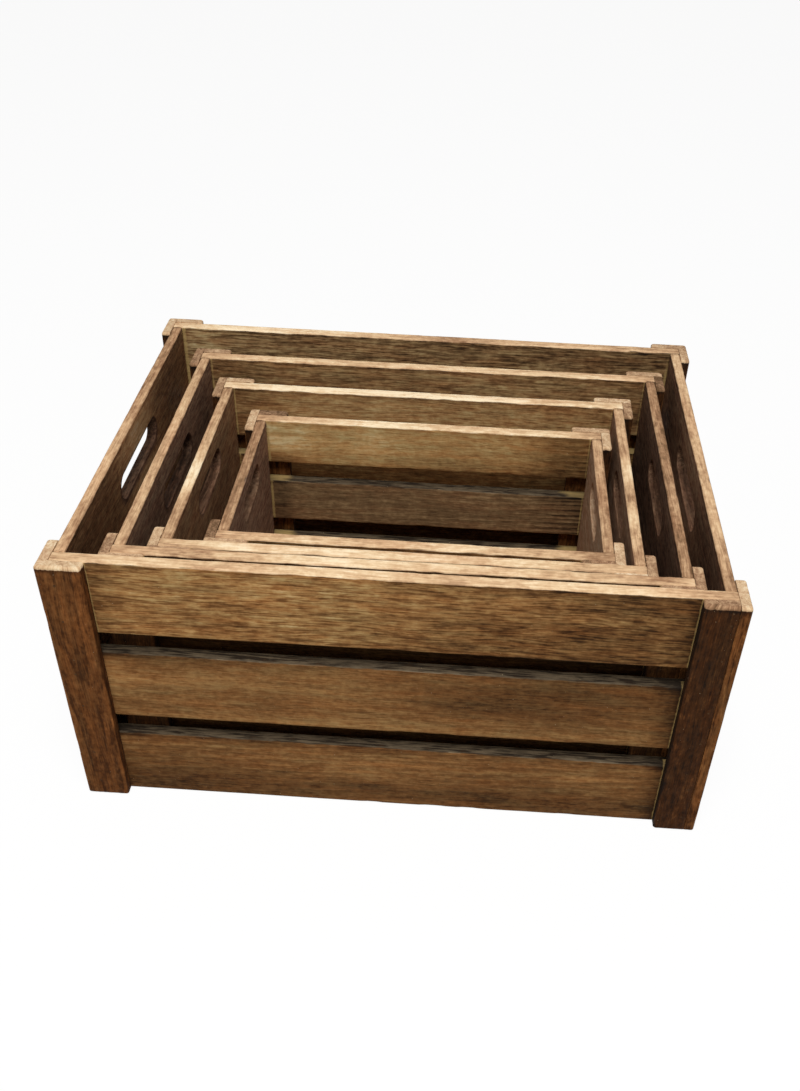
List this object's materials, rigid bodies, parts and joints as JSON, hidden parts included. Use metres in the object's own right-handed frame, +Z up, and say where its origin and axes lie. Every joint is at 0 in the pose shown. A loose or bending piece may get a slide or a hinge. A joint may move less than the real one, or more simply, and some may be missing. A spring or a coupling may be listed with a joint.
{
  "type": "nesting wooden crate set",
  "caption": "Nest of slatted wooden crates with hand holes and L-shaped corner posts in torched brown wood; each smaller crate lifts straight out of the next larger one.",
  "frame": {"origin": "on the ground under the middle of the large crate", "axes": "+X along the long sides, +Z up, +Y from the front of the nest to its back"},
  "size_m": [0.455, 0.351, 0.22],
  "materials": {
    "slat_wood": "torched softwood, brushed and oiled, with pale sanded edges",
    "panel_wood": "torched softwood, darker than the slats, brushed and oiled",
    "post_wood": "torched softwood, reddish dark brown, brushed and oiled",
    "floor_wood": "lightly torched softwood",
    "brad_steel": "dull galvanised wire"
  },
  "bodies": {
    "large_crate": {"large_front_bottom_slat": "slat_wood", "large_front_middle_slat": "slat_wood", "large_front_top_slat": "slat_wood", "large_back_bottom_slat": "slat_wood", "large_back_middle_slat": "slat_wood", "large_back_top_slat": "slat_wood", "large_left_end_panel": "panel_wood", "large_right_end_panel": "panel_wood", "large_front_left_corner_post": "post_wood", "large_front_right_corner_post": "post_wood", "large_back_left_corner_post": "post_wood", "large_back_right_corner_post": "post_wood", "large_floor_boards": "floor_wood", "large_floor_battens": "floor_wood", "large_brads": "brad_steel"},
    "medium_crate": {"medium_front_bottom_slat": "slat_wood", "medium_front_middle_slat": "slat_wood", "medium_front_top_slat": "slat_wood", "medium_back_bottom_slat": "slat_wood", "medium_back_middle_slat": "slat_wood", "medium_back_top_slat": "slat_wood", "medium_left_end_panel": "panel_wood", "medium_right_end_panel": "panel_wood", "medium_front_left_corner_post": "post_wood", "medium_front_right_corner_post": "post_wood", "medium_back_left_corner_post": "post_wood", "medium_back_right_corner_post": "post_wood", "medium_floor_boards": "floor_wood", "medium_floor_battens": "floor_wood", "medium_brads": "brad_steel"},
    "small_crate": {"small_front_bottom_slat": "slat_wood", "small_front_middle_slat": "slat_wood", "small_front_top_slat": "slat_wood", "small_back_bottom_slat": "slat_wood", "small_back_middle_slat": "slat_wood", "small_back_top_slat": "slat_wood", "small_left_end_panel": "panel_wood", "small_right_end_panel": "panel_wood", "small_front_left_corner_post": "post_wood", "small_front_right_corner_post": "post_wood", "small_back_left_corner_post": "post_wood", "small_back_right_corner_post": "post_wood", "small_floor_boards": "floor_wood", "small_floor_battens": "floor_wood", "small_brads": "brad_steel"},
    "mini_crate": {"mini_front_bottom_slat": "slat_wood", "mini_front_middle_slat": "slat_wood", "mini_front_top_slat": "slat_wood", "mini_back_bottom_slat": "slat_wood", "mini_back_middle_slat": "slat_wood", "mini_back_top_slat": "slat_wood", "mini_left_end_panel": "panel_wood", "mini_right_end_panel": "panel_wood", "mini_front_left_corner_post": "post_wood", "mini_front_right_corner_post": "post_wood", "mini_back_left_corner_post": "post_wood", "mini_back_right_corner_post": "post_wood", "mini_floor_boards": "floor_wood", "mini_floor_battens": "floor_wood", "mini_brads": "brad_steel"}
  },
  "joints": [
    {"name": "medium_lift", "type": "slide", "parent": "large_crate", "child": "medium_crate", "axis": [0, 0, 1], "range_m": [0, 0.24]},
    {"name": "small_lift", "type": "slide", "parent": "medium_crate", "child": "small_crate", "axis": [0, 0, 1], "range_m": [0, 0.22]},
    {"name": "mini_lift", "type": "slide", "parent": "small_crate", "child": "mini_crate", "axis": [0, 0, 1], "range_m": [0, 0.2]}
  ]
}
